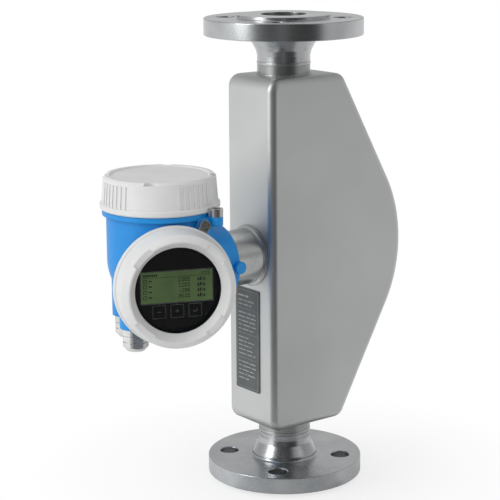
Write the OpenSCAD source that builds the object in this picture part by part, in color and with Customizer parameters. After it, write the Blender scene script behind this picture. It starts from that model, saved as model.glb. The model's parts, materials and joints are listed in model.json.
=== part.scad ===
// Coriolis mass flow meter with a vertical sensor and a compact transmitter.
// Pipe axis is Z, the origin is the centre of the lower sealing face.
// The measuring tubes bow out towards +X and the transmitter stands out towards -X.

/* [Process connection] */
// Distance from a sealing face to the sensor housing
end_length = 55.5; // [55:0.5:70]
// Outer diameter of both flanges
flange_d = 150; // [145:1:165]
// Thickness of the flange rim
flange_t = 16; // [14:0.5:20]
// Diameter of the raised sealing face
raised_d = 88; // [80:1:92]
// Height of the raised sealing face
raised_h = 3; // [2:0.5:4]
// Number of bolt holes
bolt_count = 4; // [4:4:8]
// Diameter of the bolt circle
bolt_circle_d = 110; // [108:1:115]
// Diameter of a bolt hole
bolt_hole_d = 18; // [14:0.5:18]
// Bevel at both mouths of a bolt hole
bolt_hole_bevel = 0.8; // [0.4:0.1:1.5]
// Hub diameter where it leaves the flange
hub_d = 64; // [60:1:70]
// Height at which the hub has narrowed to the pipe
hub_h = 38; // [36:0.5:42]
// Wall left on the hub 5 mm before it has narrowed to the pipe
hub_blend = 1.4; // [1:0.1:1.8]
// Height of the weld end of the hub
weld_h = 45; // [44:1:50]
// Outer diameter of the pipe stub
pipe_d = 50; // [48:0.5:53]
// Bore of the pipe stub
bore_d = 43.1; // [40:0.1:44]

/* [Sensor housing] */
// Height of the sensor housing
housing_h = 339; // [330:1:345]
// Width of the sensor housing, across the pair of tubes
housing_w = 70; // [66:1:80]
// Distance from the pipe axis to the flat transmitter side
housing_back = 42; // [38:1:48]
// Distance from the pipe axis to the shoulder of the bulge
housing_shoulder = 50; // [44:1:54]
// Radius of the round end of the bulge
bulge_r = 130.5; // [126:0.5:134]
// Set-back of the centre of the bulge from the pipe axis
bulge_setback = 10; // [6:0.5:12]
// Rounding of the edges around the two large faces
edge_r = 7; // [5:0.5:10]
// Corner radius at the transmitter side
back_corner_r = 12; // [8:0.5:14]
// Corner radius at the shoulders
shoulder_corner_r = 12; // [10:0.5:18]
// Sheet thickness of the half shells
shell_wall = 2.5; // [2:0.25:4]

/* [Measuring tubes] */
// Outer diameter of a measuring tube
tube_d = 24; // [20:0.5:25]
// Wall of a measuring tube
tube_wall = 1.5; // [1:0.1:2]
// Distance of each tube from the middle plane
tube_offset = 16; // [14:0.5:16]
// Angle by which the tubes lean out
tube_lean = 50; // [40:1:52]
// Bend radius beside the manifolds
end_bend_r = 45; // [40:1:50]
// Bend radius at the crown
crown_bend_r = 70; // [60:1:75]
// Shortest straight tube between the manifold and the first bend
tube_straight = 12; // [10:1:16]
// Smallest gap between the crown of a tube and the wall of the bulge
crown_gap = 32.8; // [30:0.1:40]
// Height of the manifold above the weld end
manifold_h = 53; // [48:1:56]
// Depth of a tube socket in the manifold
socket_depth = 8; // [6:0.5:10]
// Thickness of the brace plates
brace_t = 3; // [2:0.5:4]
// Diameter of the drive coil
drive_coil_d = 18; // [14:0.5:20]
// Diameter of a pick-off coil
pickoff_coil_d = 13; // [10:0.5:15]
// Angle of the pick-offs from the crown
pickoff_angle = 33; // [28:1:38]

/* [Neck and nameplate] */
// Diameter of the neck tube
neck_d = 53; // [50:0.5:56]
// Wall of the neck tube
neck_wall = 4; // [3:0.5:5]
// Diameter of the swivel spigot at the end of the neck
swivel_d = 48; // [46:0.5:50]
// Length of the swivel spigot
swivel_l = 20; // [16:0.5:22]
// Radial clearance of the swivel
swivel_clearance = 0.05; // [0.02:0.01:0.1]
// Width of the nameplate
nameplate_w = 36.5; // [30:0.5:40]
// Height of the nameplate
nameplate_h = 101; // [80:1:105]
// Thickness of the nameplate
nameplate_t = 0.8; // [0.5:0.1:1]
// Distance of the middle of the nameplate below the neck axis
nameplate_drop = 83.5; // [83:0.5:95]
// Shift of the nameplate from the middle plane
nameplate_y = 2.6; // [0:0.1:5]

/* [Transmitter housing] */
// Distance from the end of the collar to the axis of the upright barrel
head_offset = 63; // [62:1:70]
// Turn of the display away from the -Y direction
display_turn = 22.2; // [15:0.1:25]
// Radius of the upright barrel
barrel_r = 49; // [48.5:0.5:50]
// Height of the centre of the round bottom of the upright barrel above the neck axis
barrel_bottom_rise = 13; // [11:0.5:15]
// Height of the top face of the upright barrel above the neck axis
barrel_top_rise = 59.5; // [59:0.5:63]
// Radius of the display barrel
display_barrel_r = 44; // [43.5:0.5:45]
// Distance of the display axis below the neck axis
display_drop = 1.7; // [1:0.1:3]
// Distance from the upright axis to the front face of the display barrel
display_reach = 50; // [49.5:0.1:54]
// Radius of the flanges under both covers
seat_r = 52.6; // [52:0.1:54]
// Thickness of the flanges under both covers
seat_t = 5; // [4:0.5:6]
// Outer radius of the threaded spigots
spigot_r = 47.5; // [47.5:0.1:48]
// Length of the threaded spigots
spigot_l = 8; // [6:0.5:8]
// Radius of the electronics compartment
electronics_bore_r = 43; // [42:0.5:44]
// Thickness of the floor between the two compartments
floor_t = 3; // [2.5:0.5:4]
// Radius of the connection compartment
connection_bore_r = 39; // [38.5:0.5:40]
// Radius of the collar around the neck
collar_r = 36; // [34:0.5:37]
// Distance from the pipe axis to the end of the collar
collar_reach = 80; // [79:0.1:84]
// Gap between the neck tube and the end of the collar
collar_gap = 0.3; // [0.2:0.1:0.5]
// Radius of the two bosses beside the collar
lug_r = 5.7; // [5:0.1:6.5]
// Distance from the neck axis to the face of the bosses
lug_reach = 41; // [40:0.5:44]
// Distance from the end of the collar back to the axis of the bosses
lug_setback = 2.4; // [2.3:0.1:6]

/* [Covers] */
// Radius of the lip at the foot of a cover
lip_r = 54.5; // [54:0.1:56]
// Height of the lip
lip_h = 6; // [5:0.5:7]
// Radius of the skirt above the lip
skirt_foot_r = 52.8; // [52.5:0.1:53.5]
// Radius at the top of the skirt
skirt_top_r = 51; // [50.5:0.1:52]
// Height of the blind electronics cover
blind_cover_h = 30.5; // [28:0.5:32]
// Height of the display cover
window_cover_h = 30; // [29.5:0.1:32]
// Gap between a cover and its flange or thread
cover_gap = 0.3; // [0.2:0.05:0.4]
// Radius of the viewing opening
view_r = 38.5; // [38:0.1:39]
// Radius of the ridge of the bezel
ridge_r = 44.5; // [43.5:0.1:46]
// Thickness of the window glass
glass_t = 8; // [6:0.5:8.5]
// Height of the glass front above the foot of the cover
glass_front_h = 20.5; // [20:0.1:22]
// Width of a grip rib
rib_w = 2.4; // [1.5:0.1:3]
// Height of a grip rib above the skirt
rib_h = 0.7; // [0.4:0.1:1]
// Cord diameter of the cover seals
seal_cord_d = 2.4; // [2:0.1:2.6]
// Angle of the notches in the rim of the electronics cover
notch_angle = 69.5; // [45:0.5:90]
// Angle of the groups of grip ribs on the electronics cover
rib_angle = 24.5; // [0:0.5:45]
// Radius on which the clamp screws stand
clamp_r = 60; // [60:0.5:62]
// Radius of the clamp of the electronics cover
clamp_top_r = 6; // [5.5:0.1:6.5]
// Radius of the clamp of the display cover
clamp_display_r = 4.9; // [4.8:0.1:5.5]
// Height of a clamp
clamp_h = 7.2; // [6:0.2:8]
// Depth of the foot of a clamp below the foot of its cover
clamp_sink = 2.8; // [2:0.1:3.5]
// Angle of the clamp of the electronics cover from the display axis
clamp_angle_top = 44; // [42:1:60]
// Angle of the clamp of the display cover from the horizontal
clamp_angle_display = 61; // [60:1:64]

/* [Display and terminals] */
// Radius of the display module
module_r = 36; // [34:0.5:36.5]
// Width of the liquid crystal panel
lcd_w = 64; // [56:1:66]
// Height of the liquid crystal panel
lcd_h = 28; // [22:1:30]
// Thickness of the liquid crystal panel
lcd_t = 0.8; // [0.5:0.1:1.5]
// Height of the middle of the panel above the display axis
lcd_rise = 2.5; // [0:0.5:4]
// Width of the terminal block
terminal_w = 50; // [40:1:52]
// Height of the terminal block
terminal_h = 16; // [14:1:18]
// Depth of the terminal block
terminal_d = 22; // [18:1:24]
// Distance of the foot of the terminal block below the display axis
terminal_drop = 22; // [20:1:24]
// Number of terminals
terminal_count = 6; // [4:1:8]

/* [Cable glands] */
// Width across flats of both glands
gland_hex = 22; // [21.5:0.5:26]
// Distance of the foot of the gland bosses below the neck axis
gland_boss_drop = 47; // [45:0.5:49]
// Radius of the gland bosses
gland_boss_r = 14.3; // [14:0.1:16]
// Radius of the gland thread
gland_thread_r = 10; // [8:0.5:10]
// Height of the hexagon of a gland body
gland_body_h = 7; // [5:0.5:8]
// Height of a gland nut
gland_nut_h = 14; // [12:0.5:16]
// Height of the collar above the groove in a gland nut
gland_collar_h = 5; // [4:0.5:6]
// Radius of the cable hole in the seals
cable_r = 4.5; // [3:0.5:5]
// Place of the front gland beside the head axis, to the right and to the back
gland_front = [-28, -15]; // [-30:0.5:35]
// Place of the rear gland beside the head axis, to the right and to the back
gland_rear = [-25.5, 34]; // [-30:0.5:35]

/* [Hidden] */
$fn = 96;
eps = 0.01;
fit_gap = 0.1;
clearance = 0.05;
face_to_face = housing_h + 2 * end_length;
mid_z = face_to_face / 2;
nameplate_z = mid_z - nameplate_drop;
neck_reach = collar_reach - collar_gap;
head_x = collar_reach + head_offset;
barrel_bottom_z = mid_z + barrel_bottom_rise;
barrel_top_z = mid_z + barrel_top_rise;
display_z = mid_z - display_drop;
gland_boss_z = mid_z - gland_boss_drop;

steel = [0.72, 0.73, 0.73];
satin_steel = [0.66, 0.67, 0.67];
blue = [0.03, 0.44, 0.70];
light_grey = [0.80, 0.81, 0.81];
black = [0.06, 0.06, 0.07];

// ---- Frames of reference ----

// Upper half of the sensor as the mirror image of the lower half
module mirror_to_top() {
    translate([0, 0, face_to_face])
        mirror([0, 0, 1])
            children();
}

// Upright axis of the transmitter, with the display looking along local -Y
module at_head() {
    translate([-head_x, 0, 0])
        rotate([0, 0, -display_turn])
            children();
}

// Foot of the electronics cover, its axis up
module at_electronics_seat() {
    at_head()
        translate([0, 0, barrel_top_z])
            children();
}

// Foot of the display cover, its axis pointing out of the display
module at_display_seat() {
    at_head()
        translate([0, -display_reach, display_z])
            rotate([90, 0, 0])
                children();
}

// Neck axis, running from the pipe axis towards the transmitter
module on_neck(distance) {
    translate([-distance, 0, mid_z])
        rotate([0, -90, 0])
            children();
}

// ---- Process connection ----

module flange_body() {
    rim_top = raised_h + flange_t;
    edge = 1;
    fillet_r = 4;
    blend_l = 5;
    difference() {
        rotate_extrude()
            difference() {
                polygon([[0, 0], [raised_d / 2, 0], [raised_d / 2, raised_h],
                    [flange_d / 2 - edge, raised_h], [flange_d / 2, raised_h + edge],
                    [flange_d / 2, rim_top - edge], [flange_d / 2 - edge, rim_top],
                    [hub_d / 2 + fillet_r, rim_top], [hub_d / 2, rim_top + fillet_r],
                    [pipe_d / 2 + hub_blend, hub_h - blend_l], [pipe_d / 2, hub_h],
                    [pipe_d / 2, weld_h], [0, weld_h]]);
                translate([hub_d / 2 + fillet_r, rim_top + fillet_r])
                    circle(fillet_r);
            }
        translate([0, 0, -1])
            cylinder(d = bore_d, h = weld_h + 2);
        for (i = [0 : bolt_count - 1])
            rotate([0, 0, (i + 0.5) * 360 / bolt_count])
                translate([bolt_circle_d / 2, 0, 0])
                    bolt_hole(rim_top);
    }
}

module bolt_hole(rim_top) {
    translate([0, 0, raised_h - 1])
        cylinder(d = bolt_hole_d, h = flange_t + 2);
    translate([0, 0, rim_top - bolt_hole_bevel])
        cylinder(d1 = bolt_hole_d, d2 = bolt_hole_d + 2 * bolt_hole_bevel + 0.02,
            h = bolt_hole_bevel + eps);
}

module flange_bottom() {
    color(steel)
        flange_body();
}

module flange_top() {
    color(steel)
        mirror_to_top()
            flange_body();
}

// ---- Flow splitters ----

tube_start_z = weld_h + manifold_h - socket_depth;

module manifold_body() {
    top_z = weld_h + manifold_h;
    stub_top = end_length + shell_wall + 2;
    plate_t = 8;
    socket_r = tube_d / 2 + 2.5;
    split_z = stub_top - 4;
    tube_bore = tube_d - 2 * tube_wall;
    lean_in = tube_offset - bore_d / 4;
    lean_h = plate_t + 10;
    difference() {
        union() {
            translate([0, 0, weld_h])
                cylinder(d = pipe_d, h = stub_top - weld_h);
            translate([0, 0, stub_top])
                cylinder(r = tube_offset + socket_r - 1, h = plate_t);
            for (side = [-1, 1])
                translate([0, side * tube_offset, stub_top])
                    cylinder(r = socket_r, h = top_z - stub_top);
            translate([1 - socket_r, -tube_offset, stub_top])
                cube([2 * socket_r - 2, 2 * tube_offset, top_z - stub_top]);
        }
        translate([0, 0, weld_h - 1])
            cylinder(d = bore_d, h = split_z - weld_h + 1);
        for (side = [-1, 1]) {
            translate([0, side * tube_offset, top_z - socket_depth])
                cylinder(d = tube_d + 2 * fit_gap, h = socket_depth + 1);
            translate([0, side * tube_offset, split_z + lean_h - 2])
                cylinder(d = tube_bore, h = top_z - split_z - lean_h);
            translate([0, side * bore_d / 4, split_z - 3])
                rotate([-side * atan(lean_in / lean_h), 0, 0])
                    cylinder(d = tube_bore - 1.5, h = lean_h + 2);
        }
    }
}

module manifold_bottom() {
    color(steel)
        manifold_body();
}

module manifold_top() {
    color(steel)
        mirror_to_top()
            manifold_body();
}

// ---- Measuring tubes ----

bend_x = end_bend_r * (1 - cos(tube_lean));
bend_rise = end_bend_r * sin(tube_lean);
crown_edge_z = mid_z - crown_bend_r * sin(tube_lean);
crown_limit_x = bulge_r - bulge_setback - shell_wall - crown_gap - tube_d / 2 - crown_bend_r;
lean_by_height = (crown_edge_z - tube_start_z - socket_depth - tube_straight - bend_rise) / cos(tube_lean);
lean_by_width = (crown_limit_x + crown_bend_r * cos(tube_lean) - bend_x) / sin(tube_lean);
lean_l = min(lean_by_height, lean_by_width);
bend_z = crown_edge_z - lean_l * cos(tube_lean) - bend_rise;
lean_start = [bend_x, bend_z + bend_rise];
crown_x = bend_x + lean_l * sin(tube_lean) - crown_bend_r * cos(tube_lean);
bend_overlap = 1;
bend_thinning = 0.1;

// Bend in the XZ plane around the origin, from angle a1 to a2 above +X
module bend(r, a1, a2, d) {
    rotate([90, -a1, 0])
        rotate_extrude(angle = a2 - a1)
            translate([r, 0])
                circle(d = d);
}

// Round bar of diameter d along the path of a measuring tube; the straight
// lengths overlap the bends and stand proud of them by a drawing allowance
module tube_path(d, overrun = 0) {
    straight_d = d + 2 * bend_thinning;
    for (side = [0, 1])
        translate([0, 0, side * face_to_face])
            mirror([0, 0, side]) {
                translate([0, 0, tube_start_z - overrun])
                    cylinder(d = straight_d, h = bend_z - tube_start_z + overrun + bend_overlap);
                translate([end_bend_r, 0, bend_z])
                    bend(end_bend_r, 180 - tube_lean, 180, d);
                translate([lean_start[0], 0, lean_start[1]])
                    rotate([0, tube_lean, 0])
                        translate([0, 0, -bend_overlap])
                            cylinder(d = straight_d, h = lean_l + 2 * bend_overlap);
            }
    translate([crown_x, 0, mid_z])
        bend(crown_bend_r, -tube_lean, tube_lean, d);
}

module measuring_tube(side) {
    color(satin_steel)
        translate([0, side * tube_offset, 0])
            difference() {
                tube_path(tube_d - 2 * bend_thinning);
                tube_path(tube_d - 2 * tube_wall - 2 * bend_thinning, 1);
            }
}

module measuring_tube_front() {
    measuring_tube(-1);
}

module measuring_tube_rear() {
    measuring_tube(1);
}

module brace_body() {
    brace_z = tube_start_z + socket_depth;
    brace_r = tube_d / 2 + 2;
    translate([0, 0, brace_z])
        linear_extrude(brace_t)
            difference() {
                union() {
                    square([1.6 * brace_r, 2 * tube_offset], center = true);
                    for (side = [-1, 1])
                        translate([0, side * tube_offset])
                            circle(brace_r);
                }
                for (side = [-1, 1])
                    translate([0, side * tube_offset])
                        circle(d = tube_d + 2 * fit_gap);
            }
}

module brace_plate_bottom() {
    color(steel)
        brace_body();
}

module brace_plate_top() {
    color(steel)
        mirror_to_top()
            brace_body();
}

// ---- Drive and pick-offs ----

coil_foot = 6;
coil_plate = 2;

// Foot that sits on the crown of one tube and carries a coil or a magnet; side is the tube's side
module transducer_foot(side, coil_d) {
    foot_x = crown_bend_r + tube_d / 2;
    foot_w = 0.7 * tube_d;
    plate_y = tube_offset - foot_w / 2;
    difference() {
        translate([foot_x - 3, side * tube_offset - foot_w / 2, -coil_d / 2])
            cube([coil_foot + 3, foot_w, coil_d]);
        translate([0, side * tube_offset, 0])
            bend(crown_bend_r, -30, 30, tube_d + 2 * fit_gap);
    }
    translate([foot_x + coil_foot - eps, side > 0 ? plate_y : -plate_y - coil_plate, -coil_d / 2])
        cube([coil_d + 1, coil_plate, coil_d]);
}

module coil_unit(coil_d) {
    coil_x = crown_bend_r + tube_d / 2 + coil_foot + coil_d / 2;
    plate_y = tube_offset - 0.35 * tube_d;
    transducer_foot(-1, coil_d);
    translate([coil_x, -plate_y, 0])
        rotate([-90, 0, 0])
            difference() {
                cylinder(d = coil_d - 1, h = plate_y - 0.5);
                translate([0, 0, 1])
                    cylinder(d = coil_d - 6, h = plate_y);
            }
}

module magnet_unit(coil_d) {
    coil_x = crown_bend_r + tube_d / 2 + coil_foot + coil_d / 2;
    plate_y = tube_offset - 0.35 * tube_d;
    transducer_foot(1, coil_d);
    translate([coil_x, plate_y, 0])
        rotate([90, 0, 0])
            cylinder(d = coil_d - 7.5, h = 2 * plate_y - 3);
}

module at_crown(angle) {
    translate([crown_x, 0, mid_z])
        rotate([0, angle, 0])
            children();
}

module drive_coil() {
    color("peru")
        at_crown(0)
            coil_unit(drive_coil_d);
}

module drive_magnet() {
    color("dimgray")
        at_crown(0)
            magnet_unit(drive_coil_d);
}

module pickoff_coils() {
    color("peru")
        for (side = [-1, 1])
            at_crown(side * pickoff_angle)
                coil_unit(pickoff_coil_d);
}

module pickoff_magnets() {
    color("dimgray")
        for (side = [-1, 1])
            at_crown(side * pickoff_angle)
                magnet_unit(pickoff_coil_d);
}

// ---- Sensor housing ----

// Disc in the XZ plane with its rim rounded by e
module rounded_disc(r, w, e, fn) {
    rotate([90, 0, 0])
        rotate_extrude($fn = fn)
            intersection() {
                union() {
                    translate([0, -w / 2])
                        square([r - e, w]);
                    translate([0, e - w / 2])
                        square([r, w - 2 * e]);
                    for (side = [-1, 1])
                        translate([r - e, side * (w / 2 - e)])
                            circle(e, $fn = 32);
                }
                translate([0, -w / 2])
                    square([r, w]);
            }
}

// Full pod, set in by the given distance all round
module pod(inset) {
    w = housing_w - 2 * inset;
    e = edge_r - inset;
    half_h = housing_h / 2;
    translate([0, 0, mid_z])
        hull() {
            for (end = [-1, 1]) {
                translate([back_corner_r - housing_back, 0, end * (half_h - back_corner_r)])
                    rounded_disc(back_corner_r - inset, w, e, 32);
                translate([housing_shoulder - shoulder_corner_r, 0, end * (half_h - shoulder_corner_r)])
                    rounded_disc(shoulder_corner_r - inset, w, e, 32);
            }
            intersection() {
                translate([-bulge_setback, 0, 0])
                    rounded_disc(bulge_r - inset, w, e, 120);
                translate([0, -housing_w, -housing_h])
                    cube([2 * bulge_r, 2 * housing_w, 2 * housing_h]);
            }
        }
}

module half_shell(side) {
    depth = housing_w;
    difference() {
        intersection() {
            pod(0);
            translate([-2 * bulge_r, side > 0 ? 0 : -depth, 0])
                cube([4 * bulge_r, depth, face_to_face]);
        }
        pod(shell_wall);
        translate([0, 0, -1])
            cylinder(d = pipe_d + 2 * fit_gap, h = face_to_face + 2);
        on_neck(housing_back - shell_wall - 2)
            cylinder(d = neck_d - 2 * neck_wall, h = shell_wall + 4);
    }
}

module housing_shell_front() {
    color(satin_steel)
        half_shell(-1);
}

module housing_shell_rear() {
    color(satin_steel)
        half_shell(1);
}

module nameplate() {
    corner = 1.5;
    color([0.37, 0.39, 0.38])
        translate([-housing_back, nameplate_y, nameplate_z])
            rotate([0, -90, 0])
                linear_extrude(nameplate_t) {
                    square([nameplate_h, nameplate_w - 2 * corner], center = true);
                    square([nameplate_h - 2 * corner, nameplate_w], center = true);
                    for (x = [-1, 1], y = [-1, 1])
                        translate([x * (nameplate_h / 2 - corner), y * (nameplate_w / 2 - corner)])
                            circle(corner);
                }
}

// ---- Neck ----

module neck_tube() {
    weld_l = 4;
    weld_r = neck_d / 2 + 1.5;
    tube_l = neck_reach - housing_back;
    bore_r = neck_d / 2 - neck_wall;
    groove_l = 4;
    color(steel)
        on_neck(housing_back)
            rotate_extrude()
                difference() {
                    polygon([[bore_r - 4, 0], [weld_r, 0], [weld_r, weld_l - 1.5],
                        [weld_r - 1.5, weld_l], [neck_d / 2, weld_l], [neck_d / 2, tube_l - 1],
                        [neck_d / 2 - 1, tube_l], [swivel_d / 2, tube_l],
                        [swivel_d / 2, tube_l + swivel_l], [bore_r - 4, tube_l + swivel_l]]);
                    translate([swivel_d / 2 - 1.5, tube_l + swivel_l / 2 - groove_l / 2])
                        square([3, groove_l]);
                }
}

// ---- Transmitter housing ----

gland_boss_h = 34;
collar_bore_r = swivel_d / 2 + swivel_clearance;
collar_bore_end = neck_reach + swivel_l + collar_gap;
lug_z = mid_z + 1;
electronics_floor_z = display_z + connection_bore_r + floor_t;
connection_back = 2;
clamp_lug_r = 6;
clamp_lug_h = 8;
clamp_screw_r = 2.5;
lock_screw_r = 1.95;

// Barrel of radius r standing on Z = 0, closed by a dome below; its start line is
// turned to the free side, away from the collar and the bosses
module domed_barrel(r, h) {
    start_turn = 160;
    rotate([0, 0, start_turn])
        rotate_extrude() {
            square([r, h]);
            intersection() {
                circle(r);
                translate([0, -r])
                    square(r);
            }
        }
}

module cover_seat() {
    translate([0, 0, -seat_t])
        cylinder(r = seat_r, h = seat_t);
    cylinder(r = spigot_r, h = spigot_l);
}

module clamp_lug() {
    root = 18;
    foot_z = -clamp_sink - clearance - clamp_lug_h;
    translate([clamp_r, 0, foot_z])
        cylinder(r = clamp_lug_r, h = clamp_lug_h);
    translate([clamp_r - root, 0.8 - clamp_lug_r, foot_z])
        cube([root, 2 * clamp_lug_r - 1.6, clamp_lug_h]);
}

// Place of a cover clamp and its lug, on the seat of the electronics cover
module at_clamp_top() {
    at_electronics_seat()
        rotate([0, 0, clamp_angle_top - 90])
            children();
}

// Place of a cover clamp and its lug, on the seat of the display cover
module at_clamp_display() {
    at_display_seat()
        rotate([0, 0, clamp_angle_display])
            children();
}

// Axis of the boss beside the collar, pointing out at the front (-1) or the rear (1)
module at_lug(side) {
    translate([-collar_reach - lug_setback, 0, lug_z])
        rotate([-90 * side, 0, 0])
            children();
}

module gland_boss(place) {
    at_head()
        translate([place[0], place[1], gland_boss_z + gland_boss_h])
            mirror([0, 0, 1])
                domed_barrel(gland_boss_r, gland_boss_h);
}

module head_outside() {
    gland_boss(gland_front);
    gland_boss(gland_rear);
    at_head() {
        translate([0, 0, barrel_bottom_z])
            domed_barrel(barrel_r, barrel_top_z - barrel_bottom_z - 1);
        translate([0, 0, display_z])
            rotate([90, 0, 0])
                domed_barrel(display_barrel_r, display_reach - 1);
    }
    on_neck(collar_reach)
        cylinder(r = collar_r, h = head_x - collar_reach);
    at_electronics_seat()
        cover_seat();
    at_display_seat()
        cover_seat();
    at_clamp_top()
        clamp_lug();
    at_clamp_display()
        clamp_lug();
    lug_l = 13;
    for (side = [-1, 1])
        at_lug(side)
            translate([0, 0, lug_reach - lug_l])
                cylinder(r = lug_r, h = lug_l);
}

module head_inside() {
    bore_overlap = 6;
    rear_bore_r = 24;
    rear_bore_l = 22;
    thread_l = 28;
    passage_r = 5;
    passage_place = [20, 6];
    passage_foot = 20;
    cross_bore_r = 7;
    cross_bore_rise = 27;
    neck_bore_r = 12;
    neck_bore_stop = 15;
    at_electronics_seat()
        translate([0, 0, electronics_floor_z - barrel_top_z])
            cylinder(r = electronics_bore_r, h = barrel_top_z - electronics_floor_z + spigot_l + 1);
    at_display_seat() {
        translate([0, 0, connection_back - display_reach])
            cylinder(r = connection_bore_r, h = display_reach - connection_back + spigot_l + 1);
        translate([0, 0, -display_reach - rear_bore_l])
            cylinder(r = rear_bore_r, h = rear_bore_l + connection_back + bore_overlap);
    }
    at_head() {
        for (place = [gland_front, gland_rear])
            translate([place[0], place[1], gland_boss_z - 1])
                cylinder(r = gland_thread_r, h = thread_l);
        translate([passage_place[0], passage_place[1], display_z + passage_foot])
            cylinder(r = passage_r, h = electronics_floor_z - display_z - passage_foot + 1);
        translate([gland_rear[0], gland_rear[1], gland_boss_z + cross_bore_rise])
            rotate([0, 0, atan2(-gland_rear[1], -gland_rear[0])])
                rotate([0, 90, 0])
                    cylinder(r = cross_bore_r, h = norm(gland_rear));
    }
    on_neck(collar_reach - 1)
        cylinder(r = collar_bore_r, h = collar_bore_end - collar_reach + 1);
    on_neck(collar_reach)
        cylinder(r = neck_bore_r, h = head_x - collar_reach - neck_bore_stop);
    at_lug(1)
        cylinder(r = lock_screw_r + clearance, h = lug_reach + 1);
    at_clamp_top()
        clamp_screw_hole();
    at_clamp_display()
        clamp_screw_hole();
}

module clamp_screw_hole() {
    hole_l = 6;
    translate([clamp_r, 0, -clamp_sink - hole_l])
        cylinder(r = clamp_screw_r + clearance, h = hole_l + 1);
}

module transmitter_housing() {
    color(blue)
        difference() {
            head_outside();
            head_inside();
        }
}

module neck_lock_screw() {
    tip = swivel_d / 2 + cover_gap;
    head_out = 1.5;
    socket_r = 1.2;
    socket_depth = 3;
    color(steel)
        at_lug(1)
            difference() {
                translate([0, 0, tip])
                    cylinder(r = lock_screw_r, h = lug_reach + head_out - tip);
                translate([0, 0, lug_reach + head_out - socket_depth])
                    cylinder(r = socket_r, h = socket_depth + 1, $fn = 6);
            }
}

// ---- Inside of the transmitter ----

module main_electronics() {
    base_t = 5;
    board_t = 1.6;
    board_gap = 8;
    board_count = 3;
    post_r = 3;
    post_ring = electronics_bore_r - 9;
    stack_h = base_t + board_count * board_gap;
    plug = [28, 18, 6];
    color("darkgreen")
        at_head()
            translate([0, 0, electronics_floor_z]) {
                cylinder(r = electronics_bore_r - cover_gap, h = base_t);
                for (i = [1 : board_count])
                    translate([0, 0, base_t + i * board_gap - board_t])
                        cylinder(r = electronics_bore_r - 4, h = board_t);
                for (i = [0 : 3])
                    rotate([0, 0, 45 + 90 * i])
                        translate([post_ring, 0, 0])
                            cylinder(r = post_r, h = stack_h + 2);
                translate([-plug[0] / 2, -plug[1] / 2, stack_h - eps])
                    cube(plug);
            }
}

module at_terminals() {
    at_head()
        translate([0, -connection_back, display_z - terminal_drop])
            children();
}

module terminal_block() {
    step = terminal_w / terminal_count;
    color("gray")
        at_terminals()
            difference() {
                translate([-terminal_w / 2, -terminal_d, 0])
                    cube([terminal_w, terminal_d, terminal_h]);
                for (i = [0 : terminal_count - 1])
                    translate([(i + 0.5) * step - terminal_w / 2, 0, 0]) {
                        translate([-2.5, -terminal_d - 1, 2])
                            cube([5, 9, 4]);
                        translate([0, -terminal_d + 5, terminal_h - 6])
                            rotate([90, 0, 0])
                                cylinder(r = 2.4, h = 6);
                    }
            }
}

module terminal_screws() {
    step = terminal_w / terminal_count;
    color(steel)
        at_terminals()
            for (i = [0 : terminal_count - 1])
                translate([(i + 0.5) * step - terminal_w / 2, -terminal_d + 5, terminal_h - 6])
                    rotate([90, 0, 0])
                        difference() {
                            cylinder(r = 2.3, h = 3);
                            translate([-3, -0.4, 2])
                                cube([6, 0.8, 2]);
                        }
}

holder_front = spigot_l - 4;
holder_t = 9;
module_front = glass_front_h - glass_t - 0.4;

module display_holder() {
    color("dimgray")
        at_display_seat()
            difference() {
                translate([0, 0, holder_front - holder_t])
                    cylinder(r = connection_bore_r - cover_gap, h = holder_t);
                translate([0, 0, holder_front - holder_t - 1])
                    cylinder(r = connection_bore_r - 7, h = holder_t + 2);
            }
}

module display_module() {
    color(black)
        at_display_seat()
            difference() {
                union() {
                    translate([0, 0, holder_front])
                        cylinder(r = module_r, h = module_front - holder_front);
                    translate([0, 0, holder_front - holder_t])
                        cylinder(r = connection_bore_r - 8, h = holder_t + eps);
                }
                translate([-lcd_w / 2, lcd_rise - lcd_h / 2, module_front - lcd_t])
                    cube([lcd_w, lcd_h, lcd_t + 1]);
            }
}

module lcd_panel() {
    color([0.28, 0.35, 0.22])
        at_display_seat()
            translate([-lcd_w / 2 + fit_gap, lcd_rise - lcd_h / 2 + fit_gap, module_front - lcd_t])
                cube([lcd_w - 2 * fit_gap, lcd_h - 2 * fit_gap, lcd_t]);
}

// ---- Covers ----

thread_r = spigot_r + cover_gap;
seal_r = spigot_r + cover_gap + seal_cord_d / 2;
seal_groove_r = seal_r + seal_cord_d / 2 + fit_gap;
seal_foot = 0.6;
seal_groove_h = seal_foot + seal_cord_d + fit_gap;
glass_r = view_r + 3;
ring_r = glass_r + 3.1;

// Skirt of a cover as a half section, up to the height h
module skirt_section(h) {
    lip_edge = 1.2;
    polygon([[0, cover_gap], [lip_r - lip_edge, cover_gap], [lip_r, cover_gap + lip_edge],
        [lip_r, lip_h - lip_edge], [lip_r - lip_edge, lip_h], [skirt_foot_r, lip_h],
        [skirt_top_r, h], [0, h]]);
}

module grip_ribs(h) {
    taper = atan((skirt_foot_r - skirt_top_r) / (h - lip_h));
    rib_step = 5.8;
    for (group = [0 : 3], i = [-3 : 3])
        rotate([0, 0, rib_angle + 90 * group + rib_step * i])
            translate([skirt_foot_r, 0, lip_h - 0.5])
                rotate([0, -taper, 0])
                    translate([-1.5, -rib_w / 2, 0])
                        cube([1.5 + rib_h, rib_w, h - lip_h - 2]);
}

// Hollow for the thread and the seal at the foot of a cover
module cover_thread(depth) {
    translate([0, 0, -1])
        cylinder(r = seal_groove_r, h = 1 + seal_groove_h);
    cylinder(r = thread_r, h = depth);
}

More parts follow.
